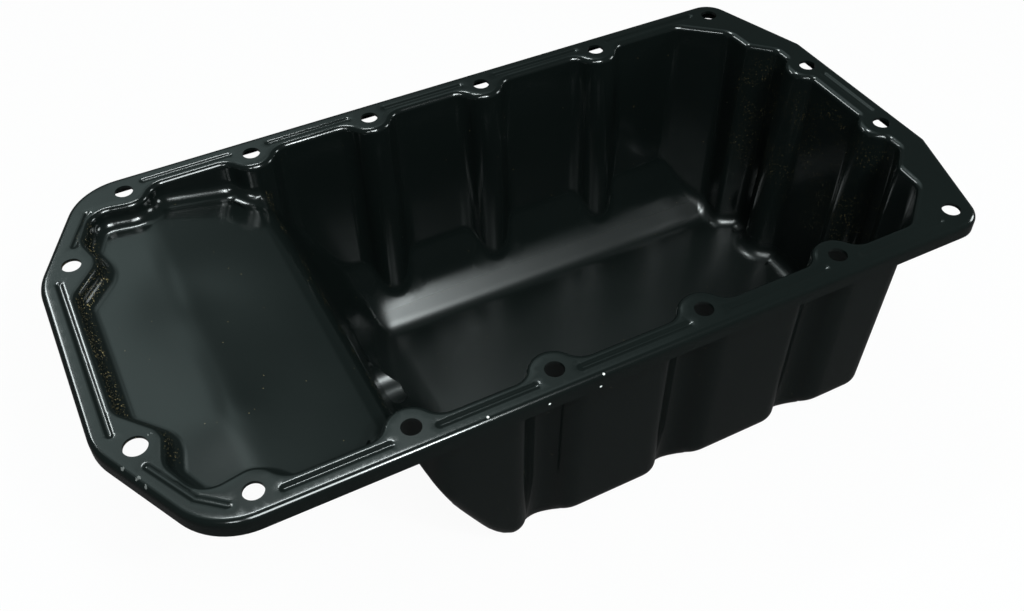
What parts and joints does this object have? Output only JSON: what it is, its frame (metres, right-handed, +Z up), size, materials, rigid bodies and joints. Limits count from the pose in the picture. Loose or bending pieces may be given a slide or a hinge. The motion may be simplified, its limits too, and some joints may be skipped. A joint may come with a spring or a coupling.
{
  "type": "engine oil pan",
  "caption": "Pressed steel engine oil pan with a shallow tray, a deep fluted well and a flat bolting flange, painted gloss black.",
  "frame": {"origin": "centre of the rectangle of the four corner bolt holes, on the top face of the flange", "axes": "+X along the pan from the shallow tray to the deep well, +Y across it, +Z up out of the flange towards the engine block"},
  "size_m": [0.4226, 0.2244, 0.1305],
  "materials": {
    "painted_steel": "gloss",
    "plated_steel": "satin",
    "aluminium_washer": "satin"
  },
  "bodies": {
    "root": {"oil_pan": "painted_steel", "drain_bush": "painted_steel", "drain_plug": "plated_steel", "drain_washer": "aluminium_washer"}
  },
  "joints": []
}
